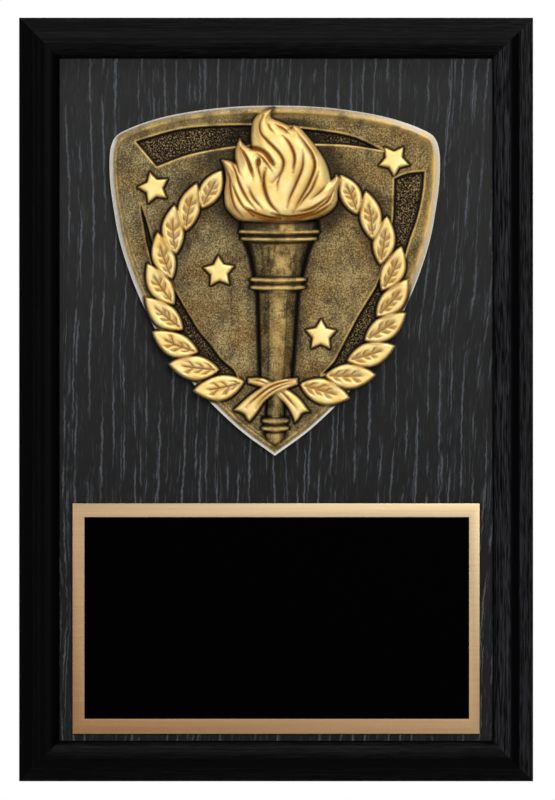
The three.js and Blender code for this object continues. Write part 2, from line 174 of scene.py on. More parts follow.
# A form's outline is a list of arcs that meet at sharp points.
FLAME_OUTLINE = [
    [(275, 222), (255, 221.5), (240, 220), (231, 213), (225.5, 205), (224.5, 192), (226, 178),
     (224.5, 167), (221, 159)],
    [(221, 159), (227, 159.6), (232, 161), (236, 163)],
    [(236, 163), (235, 155), (236, 147), (240, 136.5)],
    [(240, 136.5), (242.5, 141.5), (246.5, 145.5), (252, 148)],
    [(252, 148), (251, 135), (253, 121), (259, 113.5), (266, 110), (274, 108)],
    [(274, 108), (271.5, 112), (272, 117.5), (280, 121), (290, 125.5)],
    [(290, 125.5), (291.6, 128.5)],
    [(291.6, 128.5), (293, 124)],
    [(293, 124), (301, 128), (313, 142), (324, 158), (329, 170), (331, 180)],
    [(331, 180), (334.5, 177), (336, 173)],
    [(336, 173), (340, 179), (338, 190), (337, 203), (328, 213), (310, 220), (295, 221.5), (275, 222)],
]
# A groove is its weight and the points along it.
FLAME_GROOVES = [
    (1.0, [(263, 115), (260, 124), (261, 133), (267, 140), (275, 148), (281, 155), (284, 163),
           (281, 173), (272, 183)]),
    (0.6, [(268, 122), (270, 128), (274, 133)]),
    (0.8, [(276, 124), (284, 129), (290, 134)]),
    (1.0, [(283, 136), (290, 144), (295, 157), (293, 173)]),
    (1.0, [(297, 131), (306, 144), (313, 155), (315, 167), (309, 184), (300, 200), (293, 213)]),
    (0.8, [(319, 172), (312, 189), (304, 199), (297, 208)]),
    (0.9, [(303, 150), (303, 166), (297, 182), (290, 198), (287, 208)]),
    (0.7, [(328, 183), (320, 192), (310, 200)]),
    (0.8, [(334, 190), (327, 202), (312, 212)]),
    (0.7, [(320, 205), (309, 210), (298, 213)]),
    (2.4, [(253, 147.5), (260, 149.5), (267, 154.5), (273.5, 164)]),
    (0.8, [(257, 154), (262, 157.5), (267, 163.5), (272, 171)]),
    (1.6, [(259, 158), (259.5, 162), (258, 167)]),
    (0.8, [(226, 168), (230, 178), (231, 192), (235, 206), (243, 216)]),
    (0.9, [(232, 160), (236, 172), (240, 184), (247, 198), (256, 210)]),
    (0.8, [(231, 180), (237, 195), (244, 207), (254, 216)]),
    (1.4, [(241, 148), (247, 158), (251, 168), (253, 176)]),
    (0.8, [(249, 188), (254, 198), (262, 208)]),
    (0.7, [(236, 160), (238, 168), (241, 176)]),
    (0.7, [(257, 158), (259, 170), (262, 182)]),
    (1.2, [(266, 168), (264, 180), (266, 192), (271, 204), (280, 214)]),
    (0.6, [(284, 170), (279, 179), (277, 190)]),
    (1.5, [(246, 208), (257, 213.5), (268, 217), (280, 218)]),
    (1.3, [(272, 213.5), (288, 216.5), (304, 214.5), (318, 209.5)]),
    (0.8, [(300, 217.5), (316, 213), (331, 204)]),
    (0.8, [(296, 212), (312, 207.5), (330, 196)]),
]
RIBBON_BACK = [
    [(248, 377.5), (260, 377), (270, 380), (282, 384.5), (292, 391), (301, 399), (310, 411)],
    [(310, 411), (305, 411.6), (301.5, 413.5)],
    [(301.5, 413.5), (299, 418), (295, 422)],
    [(295, 422), (292, 414), (286, 404), (276, 394), (262, 387), (248, 382.5)],
    [(248, 382.5), (248, 377.5)],
]
RIBBON_BACK_GROOVES = [
    (0.8, [(278, 388), (287, 396), (296, 407)]),
    (0.6, [(250, 380), (260, 380.5), (270, 385)]),
]
RIBBON_FRONT = [
    [(298, 377), (281, 379), (266, 384), (250, 394.5), (233.5, 409.5)],
    [(233.5, 409.5), (240, 411.2), (245, 414)],
    [(245, 414), (247, 418), (250, 421)],
    [(250, 421), (257, 412.5), (265, 401), (276, 392.5), (288, 388), (298, 384)],
    [(298, 384), (298, 377)],
]
RIBBON_FRONT_GROOVES = [
    (0.9, [(296, 379.5), (281, 382.5), (268, 388), (254, 399), (246, 407)]),
    (0.7, [(294, 382), (278, 387), (264, 397), (256, 408)]),
]
# The torch's turned parts, from the top: (y, half width, share of the full height)
TORCH_CUP = [
    (221, 39.5, 0.86), (228.6, 40, 0.86), (230, 40.7, 1.02), (233, 40.7, 1.02), (234, 39, 0.8),
    (236.4, 38.4, 0.78), (237.4, 38.6, 0.96), (240, 38.4, 0.96), (241, 34.5, 0.72), (245, 32.6, 0.68),
    (251, 30.6, 0.64), (258, 28.4, 0.6), (266, 26.8, 0.57), (276.4, 24.6, 0.53), (277.6, 28.2, 0.68),
    (281, 28.2, 0.68), (282, 27, 0.53), (284.6, 26.8, 0.53), (285.6, 28, 0.68), (288.8, 27.6, 0.66),
    (290, 22, 0.45),
]
CUP_RINGS = (231.6, 238.7, 279.3, 287.2)
CUP_SHADOWS = (222.6, 235.2, 242.2, 276, 283.3, 290.5)
TORCH_STEM = [
    (288, 21.2, 1.0), (330, 19.2, 0.94), (376, 16.8, 0.88), (384, 16.4, 0.86), (386, 8.4, 0.5),
    (420, 9.8, 0.56),
]
TORCH_FINIAL = [
    (417, 12.8, 0.95), (418, 13.4, 1.0), (422, 13.4, 1.0), (423.2, 12, 0.74), (425, 12, 0.74),
    (426.2, 14, 1.0), (429.6, 14, 1.0), (430.8, 9.4, 0.7), (433, 10.6, 0.78), (437, 10.4, 0.76),
    (440.6, 8.2, 0.6), (442.8, 5, 0.38), (443.6, 1.5, 0.2),
]
FINIAL_RINGS = (420.3, 427.8)
FINIAL_SHADOWS = (416.6, 424.1, 431.6)
# A seam is its place across, and how dark the painted shade on the side beyond it is.
CUP_SEAMS = ((-0.55, 0.36), (0.58, 0.62))
STEM_SEAMS = ((-0.46, 0.4), (0.46, 0.4))
RING_SAG = 1.1  # how much lower a ring shows in its middle
TORCH_FOOT = (275.2, 436)
TORCH_LEAN = 0.02


def torch_axis(y):
    """The torch leans a little: its middle at the height y."""
    return TORCH_FOOT[0] + TORCH_LEAN * (TORCH_FOOT[1] - y)


def smooth(low, high, x):
    """0 below low, 1 above high, and a smooth step between."""
    t = np.clip((x - low) / (high - low), 0, 1)
    return t * t * (3 - 2 * t)


def curve_through(points, steps=6):
    """A smooth curve: each span is a cubic whose slope at a point follows the two points beside it."""
    p = np.asarray(points, float)
    if len(p) == 2:
        return p
    p = np.vstack([2 * p[0] - p[1], p, 2 * p[-1] - p[-2]])
    t = np.linspace(0, 1, steps, endpoint=False)[:, None]
    spans = [
        0.5 * (2 * b + (c - a) * t + (2 * a - 5 * b + 4 * c - d) * t**2 + (3 * b - a - 3 * c + d) * t**3)
        for a, b, c, d in zip(p, p[1:], p[2:], p[3:])
    ]
    return np.vstack([*spans, p[-2:-1]])


def outline(arcs):
    """A closed outline whose arcs meet at sharp points."""
    return np.vstack([curve_through(arc)[:-1] for arc in arcs])


def nearest(x, y, line, closed=False):
    """Distance to a line of segments, the nearest point's share of its length, and its side, 1 or -1."""
    starts = line if closed else line[:-1]
    ends = np.roll(line, -1, 0) if closed else line[1:]
    lengths = np.maximum(np.hypot(*(ends - starts).T), 1e-9)
    befores = np.cumsum(lengths) - lengths
    best = np.full(x.shape, 1e9)
    share = np.zeros(x.shape)
    side = np.zeros(x.shape)
    for (ax, ay), (bx, by), length, before in zip(starts, ends, lengths, befores):
        t = np.clip(((x - ax) * (bx - ax) + (y - ay) * (by - ay)) / length**2, 0, 1)
        distance = np.hypot(x - ax - t * (bx - ax), y - ay - t * (by - ay))
        closer = distance < best
        share = np.where(closer, before + t * length, share)
        side = np.where(closer, np.sign((x - ax) * (by - ay) - (y - ay) * (bx - ax)), side)
        best = np.minimum(best, distance)
    return best, share / lengths.sum(), side


def depth_inside(x, y, shape):
    """Distance to a closed outline, positive inside, where a ray to the right crosses it an odd time."""
    distance = nearest(x, y, shape, closed=True)[0]
    odd = np.zeros(x.shape, bool)
    for (ax, ay), (bx, by) in zip(shape, np.roll(shape, -1, 0)):
        if ay != by:
            spans = (ay > y) != (by > y)
            odd ^= spans & (x < (bx - ax) * (y - ay) / (by - ay) + ax)
    return np.where(odd, distance, -distance)


def bump_at(x, middle, width):
    """1 at the middle and nearly 0 from two widths away."""
    return np.exp(-(((x - middle) / width) ** 2))


def bumps_at(x, middles, width):
    """The highest of the bumps at several middles, and 0 where there are none."""
    return np.max([np.zeros(x.shape), *(bump_at(x, middle, width) for middle in middles)], 0)


def leaf_half(s):
    """Half width of a leaf at share s of its length: a full arch, pointed at both ends."""
    return 0.5 * LEAF_WIDTH * np.sin(np.pi * s**0.94) ** 0.84


def round_crown(v):
    """Round across: a flattened circle."""
    return 0.3 + 0.7 * np.sqrt(1 - v * v)


def eight_sided_crown(v):
    """Flat in the middle, with a sloping facet at either side."""
    return 0.35 + 0.65 * np.clip((1 - np.abs(v)) / (1 - math.tan(math.pi / 8)), 0, 1)


class Relief:
    """The casting as arrays on one grid: its height in mm above the panel, and masks of its finish.

    gilt is gold paint, crease the dark wash in the hollows with painted shade on sides that face down
    and sides that turn away, worn the rubbed edges with painted highlights, sunk the gritty ground of
    the bands, and flank a pale painted highlight along the outer edge. inside is the distance to that
    edge. grit and streaks are random grounds, one fine and one drawn out down the casting.
    """

    LAYERS = ("gilt", "wash_and_shade", "worn_and_highlight", "sunk", "flank")

    def __init__(self):
        across = round(GRID_REACH / CELL) * 2 + 1
        down = round((SHIELD_FOOT - SHIELD_TOP + 2 * GRID_MARGIN) / CELL / 2) * 2 + 1
        x = SHIELD_MIDDLE - CELL * (across - 1) / 2 + CELL * np.arange(across)
        y = SHIELD_TOP - GRID_MARGIN + CELL * np.arange(down)
        self.x, self.y = np.meshgrid(x, y)
        self.gilt, self.wash_and_shade, self.worn_and_highlight, self.sunk = (np.zeros(self.x.shape) for _ in range(4))
        random = np.random.default_rng(GRIT_SEED).normal(size=self.x.shape)
        around = [np.roll(random, step, axis) for axis in (0, 1) for step in (-1, 1)]
        self.grit = (random + 0.7 * sum(around)) / 1.7
        streaks = sum(np.roll(random, step, 0) for step in range(-6, 7)) / 13**0.5
        self.streaks = sum(np.roll(streaks, step, 1) for step in range(-2, 3)) / 5**0.5
        self.chance = np.random.default_rng(LEAF_SEED)
        self.rim()

    def window(self, points, margin=17):
        """The rows and columns of the grid within a margin of the points."""
        low = np.min(points, 0) - margin
        high = np.max(points, 0) + margin
        columns = (self.x[0] > low[0]) & (self.x[0] < high[0])
        rows = (self.y[:, 0] > low[1]) & (self.y[:, 0] < high[1])
        return np.ix_(rows, columns)

    def rim(self):
        """By distance from the edge: an upright flank, a bevel to the rim's crest and a fall to the field.

        Painted highlights: the rim is more gold where it faces up and on its right, and pale along the
        outer edge, fainter on top and strongest on the bevel where it faces left and on the right. The
        dark line at its foot has painted shade where the rim faces up and on its right.
        """
        half = curve_through(SHIELD_HALF)
        other_half = (half * (-1, 1))[1:-1][::-1]
        shape = np.vstack([half, other_half]) + (SHIELD_MIDDLE, 0)
        d = self.inside = depth_inside(self.x, self.y, shape)
        rise = FLANK_MM + (CREST_MM - FLANK_MM) * np.sqrt(smooth(-1.5, RIM_CREST_IN, d))
        fall = FIELD_MM + (CREST_MM - FIELD_MM) * (1 - smooth(RIM_CREST_IN, RIM_FOOT_IN, d))
        self.height = np.where(d < RIM_CREST_IN, rise, fall)
        down, across = np.gradient(d, CELL)
        upper = smooth(0.2, 0.9, down)
        lower = smooth(0.2, 0.7, -down)
        left = smooth(0.7, 0.95, across)
        right = smooth(60, 150, self.x - SHIELD_MIDDLE) * (1 - smooth(30, 200, self.y - 180))
        # painted highlight: the rim is more gold where it faces up and on its right
        rubbed_and_lit = np.maximum(upper, right)
        slope = (0.2 + 0.2 * upper + 0.65 * right) * bump_at(d, 6.5 - 1.2 * right, 3.6)
        self.worn_and_highlight = np.maximum((0.35 + 0.6 * rubbed_and_lit) * bump_at(d, 6.6, 1), slope)
        # the dark line at the rim's foot, with painted shade where it faces up and on its right
        at_foot = (0.1 + 0.25 * rubbed_and_lit) * bump_at(d, RIM_FOOT_IN + 0.8, 1.3)
        self.wash_and_shade = at_foot + 0.3 * bump_at(d, 4.4 - 1.1 * upper, 0.9 + 0.3 * upper)
        # a pale painted highlight along the outer edge, fainter on top, strongest on the bevel facing left
        # and on the right
        past_highlight = 2.4 - 0.8 * smooth(-80, 80, self.x - SHIELD_MIDDLE)
        edge = (1 - 0.45 * upper) * (1 - smooth(0.4 + 1.2 * lower, past_highlight + 1.2 * lower, d))
        bevel = (0.1 + 0.62 * right + 0.5 * left) * (1 - smooth(2.5 + right, 5.5 + 1.4 * right, d))
        self.flank = np.maximum(edge, bevel)

    def sink(self, shine, arcs):
        """A band cut below the field, with a gritty ground, dark beside its walls, and a rubbed edge."""
        shape = outline(arcs)
        at = self.window(shape)
        d = depth_inside(self.x[at], self.y[at], shape)
        share = smooth(-0.4, 1.7, d)
        self.height[at] -= share * (SUNK_MM - GRIT_MM * self.grit[at] * smooth(1.5, 4, d))
        self.sunk[at] = np.maximum(self.sunk[at], smooth(0, 1, d))
        self.worn_and_highlight[at] = np.maximum(self.worn_and_highlight[at] * (1 - share), shine * bump_at(d, -0.9, 0.75))
        wall = smooth(-0.2, 0.8, d) * (1 - smooth(1.2, 5, d))
        self.wash_and_shade[at] = np.maximum(self.wash_and_shade[at] * (1 - share), wall)

    def lay(self, at, d, top, gilt=1, inner_wash_and_shade=0, worn_and_highlight=0, halo=1, shade=0, reach=16):
        """A raised form over what is there, by its depth inside, with steep sides and a dark halo round it.

        shade adds fainter painted shade out to the reach, which keeps off gold paint and off the rim.
        The sides that face down get painted shade too.
        """
        rise = smooth(-0.2, 1.9, d)
        self.height[at] += (top - self.height[at]) * rise
        paint = smooth(0.1, 1, d)
        near = (1 - smooth(0.7, 3.3, -d / halo)) * (1 - 0.35 * self.gilt[at])
        # painted shade, fainter and wider, round the form
        wide = shade * (1 - smooth(3, reach, -d)) * (1 - self.gilt[at]) * smooth(8, 15, self.inside[at])
        outside = np.maximum(self.wash_and_shade[at], np.maximum(near, wide))
        # painted shade on the sides that face down
        under = 0.5 * np.clip(-np.gradient(d, CELL, axis=0), 0, 1) * (1 - smooth(0.5, 4.5, d))
        edge = np.maximum(under, 0.6 * bump_at(d, 0.5, 0.7))
        self.wash_and_shade[at] = outside * (1 - paint) + np.maximum(inner_wash_and_shade, edge) * paint
        for mask, value in ((self.gilt, gilt), (self.worn_and_highlight, worn_and_highlight), (self.sunk, 0), (self.flank, 0)):
            mask[at] += (value - mask[at]) * paint

    def star(self, x, y, lean):
        """Five points and five notches by turns on two circles, flat on top with soft edges."""
        turn = np.radians(lean + 36 * np.arange(10))
        radius = np.where(np.arange(10) % 2, STAR_WAIST, STAR_POINT)
        shape = np.stack([x + radius * np.sin(turn), y - radius * np.cos(turn)], 1)
        at = self.window(shape)
        d = depth_inside(self.x[at], self.y[at], shape) + 0.7
        self.lay(at, d, FIELD_MM + STAR_MM * (0.95 + 0.05 * smooth(0, 4, d)), halo=0.8)

    def leaf(self, side, first, step, bow, place):
        """A pointed leaf on the wreath's circle, low-domed, with an incised midrib and three pairs of veins.

        Each vein has a shallow hollow along one side, darkened as painted shade, and no two leaves
        have the same veins.
        """
        turn = math.radians(first + step * place + bow * math.sin(math.pi * place / (LEAVES_A_SIDE - 1)))
        heading = turn - math.radians(LEAF_LEAN - LEAF_LEAN_LOSS * place)
        ahead = np.array([side * math.cos(heading), -math.sin(heading)])
        aside = np.array([-ahead[1], ahead[0]])
        length = LEAF_LENGTH - LEAF_SHRINK * min(place, 4) - LAST_LEAF_LOSS * (place == LEAVES_A_SIDE - 1)
        centre = np.add(WREATH_CENTRE, WREATH_RADIUS * np.array([side * math.sin(turn), math.cos(turn)]))
        curl = self.chance.uniform(0.5, 2.5) * side
        slim = 1 - LEAF_SLIMMING * place
        s = np.linspace(0, 1, 19)[:, None] ** 1.1
        middle = centre + (s - 0.5) * length * ahead + curl * np.sin(np.pi * s) * aside
        edge = slim * leaf_half(s) * aside
        shape = np.vstack([middle + edge, (middle - edge)[-2:0:-1]])
        at = self.window(shape)
        x, y = self.x[at] - centre[0], self.y[at] - centre[1]
        d = depth_inside(self.x[at], self.y[at], shape) + 0.4
        t = np.clip((x * ahead[0] + y * ahead[1]) / length + 0.5, 0.001, 0.999)
        v = x * aside[0] + y * aside[1] - curl * np.sin(np.pi * t)
        half = np.maximum(slim * leaf_half(t), 2)
        along = smooth(0.05, 0.12, t) * (1 - smooth(0.66, 0.78, t))
        midrib = bump_at(v, 0, 1.25) * along
        hollow = bump_at(v, -1.7, 1.8) * along
        veins = np.zeros(x.shape)
        for start in VEIN_PLACES:
            for hand in (-1, 1):
                foot = start + self.chance.uniform(-0.03, 0.03)
                slope, reach = self.chance.uniform(0.7, 1.2), self.chance.uniform(0.45, 0.68)
                off = ((t - foot) * length - slope * hand * v) / math.hypot(1, slope)
                stroke = smooth(0.2, 1.2, hand * v) * (1 - smooth(reach - 0.12, reach, hand * v / half))
                veins = np.maximum(veins, bump_at(off, 0, 1.3) * stroke)
                hollow = np.maximum(hollow, bump_at(off, 1.7, 1.8) * stroke)
        cut = np.maximum(midrib, 0.9 * veins)
        dome = np.sqrt(np.clip(1 - (np.abs(v) / half - 0.4) ** 2, 0, 1))
        top = FIELD_MM + LEAF_MM * (0.76 + 0.24 * dome * smooth(0, 3, d)) - LEAF_FALL_MM * (1 - t)
        top -= VEIN_CUT_MM * cut + VEIN_SIDE_MM * hollow
        self.inside[at] = np.maximum(self.inside[at], d)
        # the veins hold wash, and the hollow beside each has painted shade
        self.lay(at, d, top, inner_wash_and_shade=np.maximum(0.95 * cut, 0.55 * hollow), halo=1.1, shade=0.4)

    def carved(self, arcs, grooves, rise, rounding, low=0.45, shade=0, reach=16):
        """A gilt form with rounded sides, cut by tapering grooves.

        A groove hollows the form to both sides of it, further on one, and throws up a lip on the other.
        shade is how much wash lies on the form, with painted shade on its rounded sides, most of it on
        the sides that face down. The hollow beside each groove has painted shade as well.
        """
        shape = outline(arcs)
        at = self.window(shape, reach + 1)
        x, y = self.x[at], self.y[at]
        d = depth_inside(x, y, shape) + 0.4
        cut = np.zeros(x.shape)
        hollow = np.zeros(x.shape)
        lip = np.zeros(x.shape)
        for weight, line in grooves:
            distance, share, side = nearest(x, y, curve_through(line))
            taper = weight * np.sin(np.pi * np.clip(share, 0.05, 0.95)) ** 0.6
            cut = np.maximum(cut, np.minimum(taper, 1) * bump_at(distance, 0, 0.4 + 0.6 * weight))
            slope = np.where(side > 0, 0.55 * bump_at(distance, 0, 3.2), bump_at(distance, 0, 4.5))
            hollow = np.maximum(hollow, np.minimum(taper, 1.2) * slope)
            crest = bump_at(distance, 1.6 + 0.6 * weight, 0.85) * (side > 0)
            lip = np.maximum(lip, np.minimum(taper, 1) * crest)
        swell = np.sqrt(1 - (1 - np.clip(d / rounding, 0, 1)) ** 2)
        lip = lip * (1 - np.minimum(cut, 1))
        top = FIELD_MM + rise * (low + (1 - low) * swell)
        top += GROOVE_LIP_MM * lip - GROOVE_CUT_MM * cut - GROOVE_SIDE_MM * hollow
        # painted shade on the rounded sides, most on those that face down
        down = np.clip(-np.gradient(d, CELL, axis=0), 0, 1) * (1 - smooth(0, 0.9 * rounding, d))
        wash_and_side_shade = shade * (0.18 + np.maximum(0.4 * (1 - smooth(0, rounding, d)), 0.9 * down))
        # the grooves hold wash, and the hollows beside them painted shade
        inner_wash_and_shade = np.clip(cut**0.8 + 0.5 * hollow * (1 - lip) + wash_and_side_shade, 0, 1)
        self.lay(at, d, top, inner_wash_and_shade=inner_wash_and_shade, halo=1.1, shade=1.6 * shade, reach=reach)

    def turned(self, stations, rise, crown, rings=(), shadows=(), seams=(), rub_and_highlight=0.68):
        """A turned form in relief. Its width and height follow the stations down it, and its height
        across follows the crown.

        Rings are gold, shadows are painted shadows between them, and seams are dark lines along it
        with painted shade on the sides beyond. Its sides get painted shade towards the edges, the wash
        also runs down it in streaks, and rub is how strong a painted highlight down its middle is.
        """
        line = np.array(stations)
        middle = torch_axis(line[:, 0])
        corners = [np.stack([middle + hand * line[:, 1], line[:, 0]], 1) for hand in (-1, 1)]
        at = self.window(np.vstack(corners))
        x, y = self.x[at], self.y[at]
        v = (x - torch_axis(y)) / np.interp(y, line[:, 0], line[:, 1])
        level_y = y - RING_SAG * (1 - np.clip(v, -1, 1) ** 2) + 0.5 * RING_SAG
        half = np.interp(level_y, line[:, 0], line[:, 1])
        level = np.interp(level_y, line[:, 0], line[:, 2])
        off = np.abs(x - torch_axis(y))
        d = np.minimum(half - off, np.minimum(y - line[0, 0], line[-1, 0] - y) + 1)
        v = np.clip((x - torch_axis(y)) / half, -1, 1)
        top = FIELD_MM + rise * level * crown(v)
        # painted shade: darker towards its sides, where the form turns away
        dark = np.maximum(smooth(0.7, 0.9, np.abs(v)), 0.45 * smooth(0.3, 0.8, np.abs(v)))
        stained = (0.62 + 0.3 * np.abs(v)) * smooth(0, 1.2, self.streaks[at])
        dark = np.maximum(dark, stained)
        rings_apart = bumps_at(level_y, shadows, 1.8)
        dark = np.maximum(dark, rings_apart)
        for place, darkness in seams:
            beyond = darkness * smooth(abs(place), abs(place) + 0.1, v * np.sign(place))
            dark = np.maximum(dark, np.maximum(0.75 * bump_at(v, place, 0.07), beyond))
        bright = bumps_at(level_y, rings, 1.05) * (1 - smooth(0.96, 1.02, np.abs(v)))
        # gold on the rings, and a painted highlight down the middle
        rubbed_and_lit = np.maximum(bright, rub_and_highlight * bump_at(v, 0.1, 0.35) * (1 - rings_apart) * (1 - stained))
        self.lay(at, d, top, 0, inner_wash_and_shade=dark * (1 - bright), worn_and_highlight=rubbed_and_lit, halo=1.4, shade=0.4)


def draw_casting():
    """The casting's forms, from the ground up: what comes later lies over what came before."""
    relief = Relief()
    for band in SUNK_BANDS:
        relief.sink(*band)
    for star in STARS:
        relief.star(*star)
    for place in range(LEAVES_A_SIDE):
        for row in LEAF_ROWS:
            relief.leaf(*row, place)
    relief.turned(TORCH_STEM, STEM_MM, eight_sided_crown, seams=STEM_SEAMS, rub_and_highlight=0.42)
    relief.turned(TORCH_CUP, CUP_MM, round_crown, CUP_RINGS, CUP_SHADOWS, CUP_SEAMS)
    relief.turned(TORCH_FINIAL, FINIAL_MM, round_crown, FINIAL_RINGS, FINIAL_SHADOWS)
    relief.carved(FLAME_OUTLINE, FLAME_GROOVES, FLAME_MM, 15, shade=0.5, reach=30)
    relief.carved(RIBBON_BACK, RIBBON_BACK_GROOVES, RIBBON_MM * RIBBON_BACK_SHARE, 5, 0.7, 0.3)
    relief.carved(RIBBON_FRONT, RIBBON_FRONT_GROOVES, RIBBON_MM, 5, 0.7, 0.3)
    return relief


def bend(values):
    """How far the middles of each block of two by two cells stray from straight lines between corners."""
    a, b, c, d = (values[i : i - 2 or None : 2, j : j - 2 or None : 2] for i in (0, 2) for j in (0, 2))
    top, foot = values[:-2:2, 1::2], values[2::2, 1::2]
    left, right = values[1::2, :-2:2], values[1::2, 2::2]
    strays = [top - (a + b) / 2, foot - (c + d) / 2, left - (a + c) / 2, right - (b + d) / 2]
    strays.append(values[1::2, 1::2] - (a + b + c + d) / 4)
    return np.max(np.abs(strays), 0)


def grid_faces(kept, plain):
    """Corner numbers of the faces over the kept grid points, as arrays with three to eight corners a face.

    A plain block of two by two cells is one face, which takes in the middle of a side where its
    neighbour there is not plain. Every other cell is a quad, or a triangle where one corner is missing.
    """
    rows, columns = kept.shape
    number = np.arange(rows * columns).reshape(rows, columns)
    cells = np.stack([number[1:, :-1], number[1:, 1:], number[:-1, 1:], number[:-1, :-1]], -1)
    there = kept.reshape(-1)[cells]
    fine = ~np.kron(plain, np.ones((2, 2), bool))
    quads = cells[fine & there.all(-1)]
    three = cells[there.sum(-1) == 3]
    gap = np.argmin(kept.reshape(-1)[three], 1)[:, None]
    faces = [quads, np.take_along_axis(three, (gap + [[1, 2, 3]]) % 4, 1)]
    ring = np.pad(plain, 1)
    split = [~ring[2:, 1:-1], ~ring[1:-1, 2:], ~ring[:-2, 1:-1], ~ring[1:-1, :-2]]
    corners = [number[2::2, :-2:2], number[2::2, 2::2], number[:-2:2, 2::2], number[:-2:2, :-2:2]]
    middles = [number[2::2, 1::2], number[1::2, 2::2], number[:-2:2, 1::2], number[1::2, :-2:2]]
    pattern = sum(side * 2**k for k, side in enumerate(split))
    for kind in range(16):
        chosen = plain & (pattern == kind)
        points = []
        for k in range(4):
            points.append(corners[k][chosen])
            if kind >> k & 1:
                points.append(middles[k][chosen])
        faces.append(np.stack(points, 1))
    return faces


def mark(mesh, name, values):
    """Gives each vertex a number, which the piece's material reads."""
    mesh.attributes.new(name, "FLOAT", "POINT").data.foreach_set("value", values.astype(np.float32))


def casting_mesh(relief):
    """The relief as one closed mesh.

    Grid points beside the outer edge move onto it, and walls run down from it to the flat back.
    """
    low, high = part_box("shield_casting")
    unit = (high.z - low.z) / (SHIELD_FOOT - SHIELD_TOP)
    slope_y, slope_x = np.gradient(relief.inside, CELL)
    steep = np.maximum(slope_x**2 + slope_y**2, 0.25)
    half_diagonal = 0.71 * CELL
    edge = np.abs(relief.inside) < half_diagonal
    x = relief.x - np.where(edge, relief.inside * slope_x / steep, 0)
    y = relief.y - np.where(edge, relief.inside * slope_y / steep, 0)
    x = (low.x + high.x) / 2 + (x - SHIELD_MIDDLE) * unit
    z = high.z - (y - SHIELD_TOP) * unit
    places = np.stack([x, panel_face - relief.height * MM, z], -1).reshape(-1, 3)
    kept = edge | (relief.inside > 0)
    inner = relief.inside > 1.5 * CELL
    plain = bend(np.where(inner, 0, 1)) + bend(relief.height) / PLAIN_HEIGHT_MM < 1
    plain &= inner[1::2, 1::2] & inner[:-2:2, :-2:2] & inner[2::2, 2::2]
    for layer in Relief.LAYERS:
        plain &= bend(getattr(relief, layer)) < PLAIN_MASK
    faces = grid_faces(kept, plain)
    used = np.unique(np.concatenate([face.ravel() for face in faces]))
    renumbered = np.zeros(len(places), int)
    renumbered[used] = np.arange(len(used))
    polygons = sum((renumbered[face].tolist() for face in faces), [])
    mesh = bpy.data.meshes.new("shield_casting_relief")
    mesh.from_pydata(places[used].tolist(), [], polygons)
    for layer in Relief.LAYERS:
        mark(mesh, layer, getattr(relief, layer).reshape(-1)[used])
    work = bmesh.new()
    work.from_mesh(mesh)
    rim = [e for e in work.edges if e.is_boundary]
    walls = bmesh.ops.extrude_edge_only(work, edges=rim)["geom"]
    for vertex in walls:
        if isinstance(vertex, bmesh.types.BMVert):
            vertex.co.y = panel_face
    foot = [e for e in walls if isinstance(e, bmesh.types.BMEdge) and e.is_boundary]
    back = bmesh.ops.holes_fill(work, edges=foot, sides=0)["faces"]
    bmesh.ops.triangulate(work, faces=back)
    work.to_mesh(mesh)
    work.free()
    return outward(mesh)


def finish_piece(mesh, materials, node, sharp_degrees=35):
    """A finished piece, named as its mesh: smooth but for its sharp edges, in place of its solid."""
    mesh.shade_smooth()
    mesh.set_sharp_from_angle(angle=math.radians(sharp_degrees))
    piece = bpy.data.objects.new(mesh.name, mesh)
    scene.collection.objects.link(piece)
    for material in materials:
        mesh.materials.append(material)
    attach(piece, "root")
    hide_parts(node)


def rail_profile():
    """The rail's closed section, in mm: distances in from the outer edge, heights above the panel's face.

    An outer band, a facet that rises to the crown, a convex fall to the sight edge, and the rebate behind.
    With it, the painted shade at each point: 1 on the facet and at the sight edge, and a quarter on the
    outer band.
    """
    turn = np.linspace(0, np.pi / 2, 7)
    radius = OUTER_EDGE_RADIUS_MM
    outer = np.stack([radius - radius * np.cos(turn), BAND_RISE_MM - radius + radius * np.sin(turn)], 1)
    crown = OUTER_BAND_MM + FACET_MM
    lift = np.linspace(0, 1, 9)
    facet_rise = BEAD_RISE_MM - FACET_BELOW_BEAD_MM - BAND_RISE_MM
    facet_top = BAND_RISE_MM + facet_rise * smooth(-0.25, 1.1, lift)
    facet = np.stack([OUTER_BAND_MM + FACET_MM * lift, facet_top], 1)
    fall = np.linspace(0, 1, 17)
    bead = crown + BEAD_SETBACK_MM
    inner_top = SIGHT_EDGE_MM + (BEAD_RISE_MM - SIGHT_EDGE_MM) * (1 - fall**3.2)
    inner = np.stack([bead + (RAIL_WIDTH_MM - bead) * fall, inner_top], 1)
    back = panel_face / MM
    rebate = RAIL_WIDTH_MM - RAIL_LAP_MM
    hidden = [(RAIL_WIDTH_MM, 0.0), (rebate, 0.0), (rebate, back), (0.0, back)]
    facet_dark = np.maximum(0.25, smooth(0, 0.15, lift))
    dark = np.concatenate([np.full(len(outer), 0.25), facet_dark, smooth(0.85, 1, fall), np.zeros(4)])
    return np.vstack([outer, facet, inner, hidden]), dark


